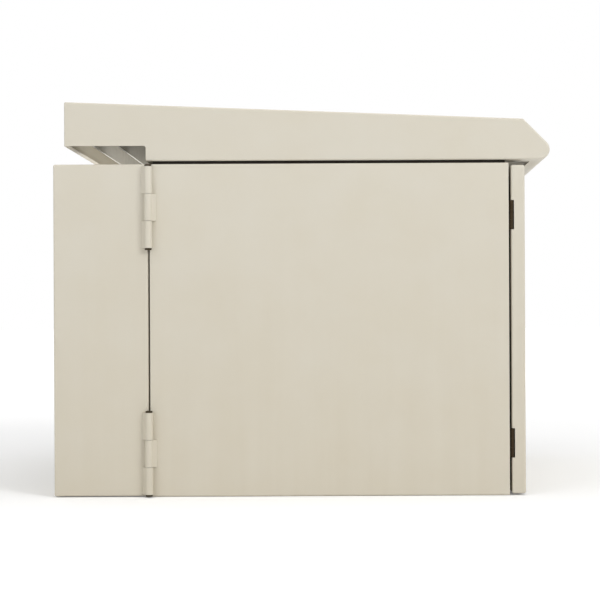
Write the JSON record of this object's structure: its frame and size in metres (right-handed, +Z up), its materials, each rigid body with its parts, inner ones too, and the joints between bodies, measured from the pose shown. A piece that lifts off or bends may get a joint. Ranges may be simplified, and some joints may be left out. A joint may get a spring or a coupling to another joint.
{
  "type": "roadside utility cabinet",
  "caption": "Folded sheet-steel outdoor equipment cabinet with a deep front door, a shallow rear door, rack rails inside and a sloping ventilated roof hood.",
  "frame": {"origin": "centre of the anchor holes in the underside of the body", "axes": "+X from the deep door to the shallow door, +Y away from the hinged side, +Z up"},
  "size_m": [0.6304, 0.57, 0.4941],
  "materials": {
    "powder_coated_steel": "fine satin powder coat",
    "dark_steel": "dark oiled steel",
    "zinc_plated_steel": "bright zinc plating",
    "chromed_zinc": "polished",
    "black_plastic": "moulded matt",
    "insulator_plastic": "moulded matt",
    "copper": "drawn bar",
    "brass": "turned",
    "black_rubber": "matt",
    "filter_fleece": "needled fleece",
    "aluminium_mesh": "woven wire"
  },
  "bodies": {
    "cabinet": {"near_side_panel": "powder_coated_steel", "far_side_panel": "powder_coated_steel", "floor_pan": "powder_coated_steel", "top_panel": "powder_coated_steel", "roof_hood": "powder_coated_steel", "deep_door_frame": "powder_coated_steel", "shallow_door_frame": "powder_coated_steel", "rain_baffle_front": "powder_coated_steel", "rain_baffle_back": "powder_coated_steel", "lower_hinge_body_knuckle": "powder_coated_steel", "upper_hinge_body_knuckle": "powder_coated_steel", "lower_hinge_pin": "dark_steel", "upper_hinge_pin": "dark_steel", "lower_butt_hinge_body_leaf": "dark_steel", "upper_butt_hinge_body_leaf": "dark_steel", "lower_butt_hinge_pin": "dark_steel", "upper_butt_hinge_pin": "dark_steel", "roof_bolts": "zinc_plated_steel", "roof_nuts": "zinc_plated_steel", "gland_plate": "zinc_plated_steel", "gland_plate_screws": "zinc_plated_steel", "rack_rail_deep_near": "zinc_plated_steel", "rack_rail_deep_far": "zinc_plated_steel", "rack_rail_shallow_near": "zinc_plated_steel", "rack_rail_shallow_far": "zinc_plated_steel", "rail_screws": "zinc_plated_steel", "fan_guard": "zinc_plated_steel", "fan_screws": "zinc_plated_steel", "fan_frame": "black_plastic", "earth_bar_standoffs": "insulator_plastic", "earth_bar": "copper", "earth_bar_screws": "brass", "deep_door_gasket": "black_rubber", "shallow_door_gasket": "black_rubber", "cable_grommets": "black_rubber", "roof_bedding_strips": "black_rubber", "insect_screen": "aluminium_mesh"},
    "fan_rotor": {"fan_rotor": "black_plastic"},
    "deep_door": {"deep_door_shell": "powder_coated_steel", "lower_hinge_door_knuckles": "powder_coated_steel", "upper_hinge_door_knuckles": "powder_coated_steel", "filter_frame": "black_plastic", "filter_pad": "filter_fleece", "filter_screws": "zinc_plated_steel", "deep_latch_housings": "chromed_zinc", "deep_latch_nuts": "zinc_plated_steel", "deep_latch_brackets": "zinc_plated_steel"},
    "deep_latch_lower": {"deep_latch_lower_spindle": "zinc_plated_steel", "deep_latch_lower_cam": "zinc_plated_steel"},
    "deep_latch_upper": {"deep_latch_upper_spindle": "zinc_plated_steel", "deep_latch_upper_cam": "zinc_plated_steel"},
    "shallow_door": {"shallow_door_shell": "powder_coated_steel", "lower_butt_hinge_door_leaf": "dark_steel", "upper_butt_hinge_door_leaf": "dark_steel", "shallow_latch_housings": "chromed_zinc", "shallow_latch_nuts": "zinc_plated_steel"},
    "shallow_latch_lower": {"shallow_latch_lower_spindle": "zinc_plated_steel", "shallow_latch_lower_cam": "zinc_plated_steel"},
    "shallow_latch_upper": {"shallow_latch_upper_spindle": "zinc_plated_steel", "shallow_latch_upper_cam": "zinc_plated_steel"}
  },
  "joints": [
    {"name": "deep_door_swing", "type": "hinge", "parent": "cabinet", "child": "deep_door", "pos_m": [-0.2256, -0.285, 0], "axis": [0, 0, 1], "range_deg": [0, 170]},
    {"name": "shallow_door_swing", "type": "hinge", "parent": "cabinet", "child": "shallow_door", "pos_m": [0.2283, -0.2775, 0], "axis": [0, 0, -1], "range_deg": [0, 110]},
    {"name": "deep_latch_lower_turn", "type": "hinge", "parent": "deep_door", "child": "deep_latch_lower", "pos_m": [-0.3451, 0.242, 0.075], "axis": [1, 0, 0], "range_deg": [0, 90]},
    {"name": "deep_latch_upper_turn", "type": "hinge", "parent": "deep_door", "child": "deep_latch_upper", "pos_m": [-0.3451, 0.242, 0.341], "axis": [1, 0, 0], "range_deg": [0, 90]},
    {"name": "shallow_latch_lower_turn", "type": "hinge", "parent": "shallow_door", "child": "shallow_latch_lower", "pos_m": [0.2447, 0.242, 0.075], "axis": [1, 0, 0], "range_deg": [0, 90]},
    {"name": "shallow_latch_upper_turn", "type": "hinge", "parent": "shallow_door", "child": "shallow_latch_upper", "pos_m": [0.2447, 0.242, 0.341], "axis": [1, 0, 0], "range_deg": [0, 90]},
    {"name": "fan_spin", "type": "hinge", "parent": "cabinet", "child": "fan_rotor", "pos_m": [0, 0, 0.39], "axis": [0, 0, 1], "continuous": true}
  ]
}
